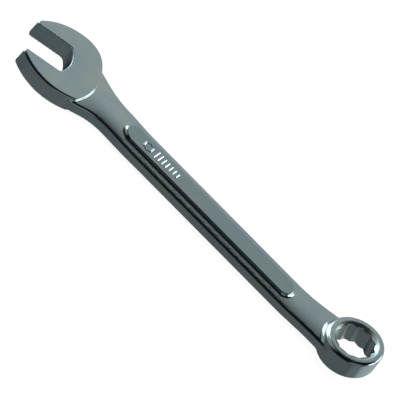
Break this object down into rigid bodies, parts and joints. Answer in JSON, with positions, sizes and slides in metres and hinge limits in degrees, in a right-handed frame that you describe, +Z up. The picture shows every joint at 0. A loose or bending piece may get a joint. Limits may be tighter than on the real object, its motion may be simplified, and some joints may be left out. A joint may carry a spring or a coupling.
{
  "type": "combination wrench",
  "caption": "One-piece combination wrench: an open jaw turned to the shank at one end, a tilted twelve-point ring at the other, and a raised panel along the handle.",
  "frame": {"origin": "middle of the bounding box's underside, which is level with the flat underside of the open end", "axes": "+X along the shank from the open end to the ring, +Z up, out of the side the ring rises to, +Y towards the jaw that reaches farther to the side"},
  "size_m": [0.2156, 0.0394, 0.0196],
  "materials": {
    "chrome_plated_steel": "satin chrome plate over tumbled forged steel, with polished edges and faint handling marks"
  },
  "bodies": {
    "root": {"wrench_forging": "chrome_plated_steel"}
  },
  "joints": []
}
